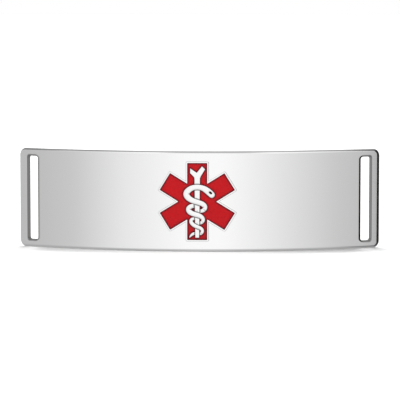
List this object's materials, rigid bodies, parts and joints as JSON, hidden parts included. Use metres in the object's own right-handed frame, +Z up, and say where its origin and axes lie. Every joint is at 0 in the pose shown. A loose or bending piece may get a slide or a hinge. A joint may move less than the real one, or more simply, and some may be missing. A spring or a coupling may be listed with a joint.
{
  "type": "medical alert bracelet plate",
  "caption": "Bent identification plate for a medical alert bracelet, with a strap slot at each end and a red enamel medical star in relief.",
  "frame": {"origin": "middle of the bounding box, on the surface that the plate's long edge stands on", "axes": "+X runs along the plate, to the right as seen from the front; -Y is the way the bowed face looks; +Z is up, across the plate"},
  "size_m": [0.0464, 0.0068, 0.0127],
  "materials": {
    "plate_metal": "mirror-polished stainless steel with a faint brushed grain",
    "red_enamel": "glossy opaque red enamel",
    "dark_enamel": "glossy dark enamel"
  },
  "bodies": {
    "root": {"id_plate": "plate_metal", "red_enamel": "red_enamel", "eye_enamel": "dark_enamel"}
  },
  "joints": []
}
